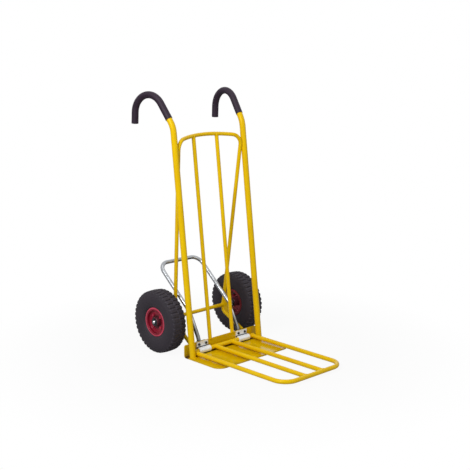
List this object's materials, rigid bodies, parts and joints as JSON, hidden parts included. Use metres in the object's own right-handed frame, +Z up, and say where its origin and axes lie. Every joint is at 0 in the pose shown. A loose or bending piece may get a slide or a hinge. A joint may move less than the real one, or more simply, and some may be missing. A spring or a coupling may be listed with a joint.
{
  "type": "sack truck",
  "caption": "Tubular steel sack truck with hooked handles, a bowed back with slats, a toe plate, a load frame that folds up, a foot tilt bar and pneumatic wheels.",
  "frame": {"origin": "on the floor, on the centre plane, where the axes of the two rails meet the floor, on the underside of the toe plate", "axes": "+Z up, -Y towards the load side, +X to the right seen from the load side"},
  "size_m": [0.5186, 0.8344, 1.0811],
  "materials": {
    "yellow_paint": "gloss powder coat",
    "grip_rubber": "matt sleeve",
    "zinc": "bright zinc plate",
    "black_steel": "black oxide",
    "red_paint": "gloss paint",
    "tyre_rubber": "matt",
    "tube_rubber": "matt",
    "black_plastic": "matt",
    "bush_nylon": "matt"
  },
  "bodies": {
    "frame": {"left_rail": "yellow_paint", "right_rail": "yellow_paint", "left_grip": "grip_rubber", "right_grip": "grip_rubber", "back_bow": "yellow_paint", "left_slat": "yellow_paint", "right_slat": "yellow_paint", "left_brace_gusset": "yellow_paint", "right_brace_gusset": "yellow_paint", "axle_cross_tube": "yellow_paint", "left_stub_axle": "zinc", "right_stub_axle": "zinc", "axle_collars": "zinc", "hub_washers": "black_steel", "split_pins": "black_steel", "toe_plate": "yellow_paint", "left_hinge_strap": "zinc", "right_hinge_strap": "zinc", "hinge_bolts": "black_steel", "hinge_nuts": "black_steel", "tilt_bar": "zinc", "left_tilt_bar_foot": "zinc", "right_tilt_bar_foot": "zinc"},
    "load_frame": {"load_frame_hoop": "yellow_paint", "load_frame_pivot_tube": "yellow_paint", "left_load_bar": "yellow_paint", "right_load_bar": "yellow_paint"},
    "left_wheel": {"left_tyre": "tyre_rubber", "left_inner_tube": "tube_rubber", "left_valve_cap": "black_plastic", "left_outer_rim": "red_paint", "left_inner_rim": "red_paint", "left_rim_bolts": "red_paint", "left_rim_nuts": "red_paint", "left_hub": "red_paint", "left_hub_bushes": "bush_nylon"},
    "right_wheel": {"right_tyre": "tyre_rubber", "right_inner_tube": "tube_rubber", "right_valve_cap": "black_plastic", "right_outer_rim": "red_paint", "right_inner_rim": "red_paint", "right_rim_bolts": "red_paint", "right_rim_nuts": "red_paint", "right_hub": "red_paint", "right_hub_bushes": "bush_nylon"}
  },
  "joints": [
    {"name": "load_frame_fold", "type": "hinge", "parent": "frame", "child": "load_frame", "pos_m": [0, 0.0197, 0.0194], "axis": [-1, 0, 0], "range_deg": [0, 95.8]},
    {"name": "left_wheel_spin", "type": "hinge", "parent": "frame", "child": "left_wheel", "pos_m": [-0.221, 0.173, 0.133], "axis": [1, 0, 0], "continuous": true},
    {"name": "right_wheel_spin", "type": "hinge", "parent": "frame", "child": "right_wheel", "pos_m": [0.221, 0.173, 0.133], "axis": [1, 0, 0], "continuous": true}
  ]
}
